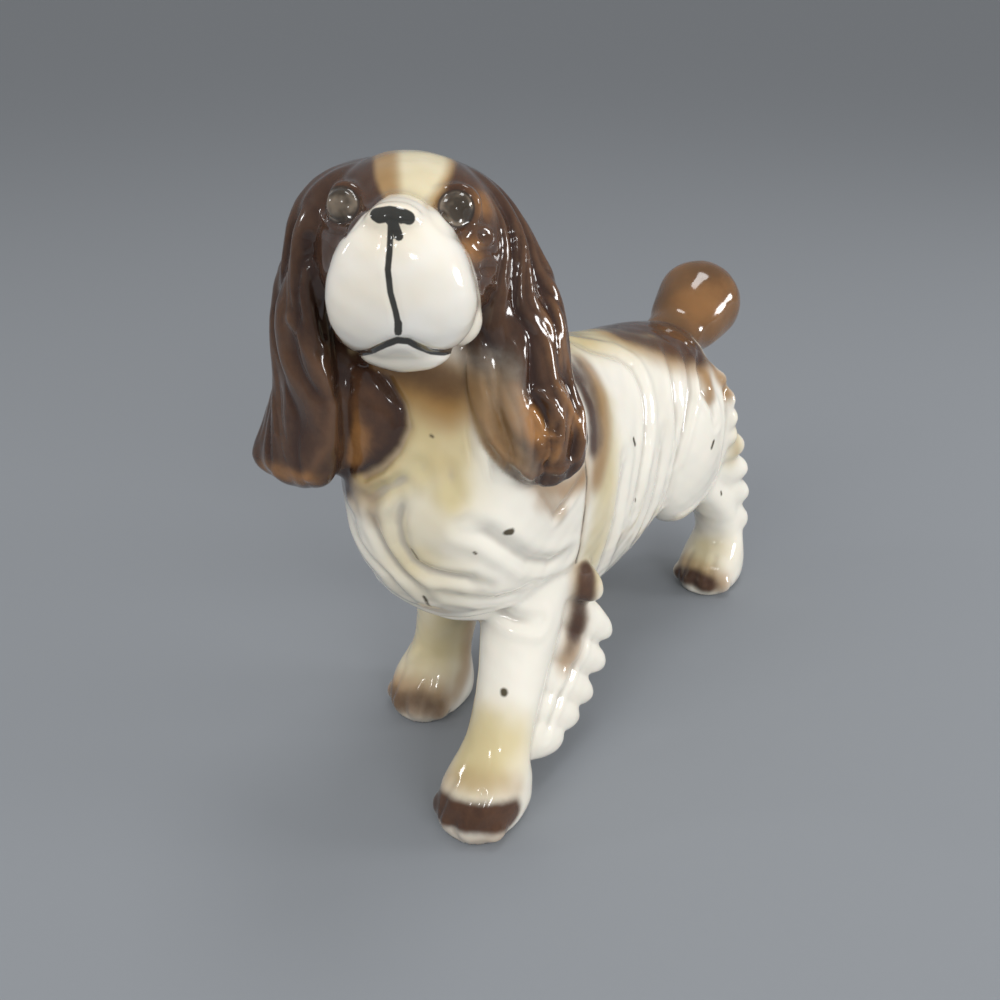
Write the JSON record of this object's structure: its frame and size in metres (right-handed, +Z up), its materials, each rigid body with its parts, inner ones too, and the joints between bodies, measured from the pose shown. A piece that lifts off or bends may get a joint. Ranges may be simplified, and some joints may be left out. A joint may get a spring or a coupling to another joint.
{
  "type": "standing spaniel figure",
  "caption": "Standing long-eared spaniel ornament in glazed earthenware, head raised and turned to its left, legs feathered, docked tail.",
  "frame": {"origin": "middle of the figure's footprint, on the surface that the paws stand on", "axes": "the dog looks towards -Y, its left side is +X, up is +Z"},
  "size_m": [0.0626, 0.183, 0.1484],
  "materials": {
    "cream_glaze": "gloss",
    "liver_glaze": "gloss"
  },
  "bodies": {
    "root": {"front_body": "cream_glaze", "rear_body": "cream_glaze", "head": "cream_glaze", "ear_left": "liver_glaze", "ear_right": "liver_glaze", "foreleg_left": "cream_glaze", "foreleg_right": "cream_glaze", "hind_leg_left": "cream_glaze", "hind_leg_right": "cream_glaze", "tail": "liver_glaze"}
  },
  "joints": []
}
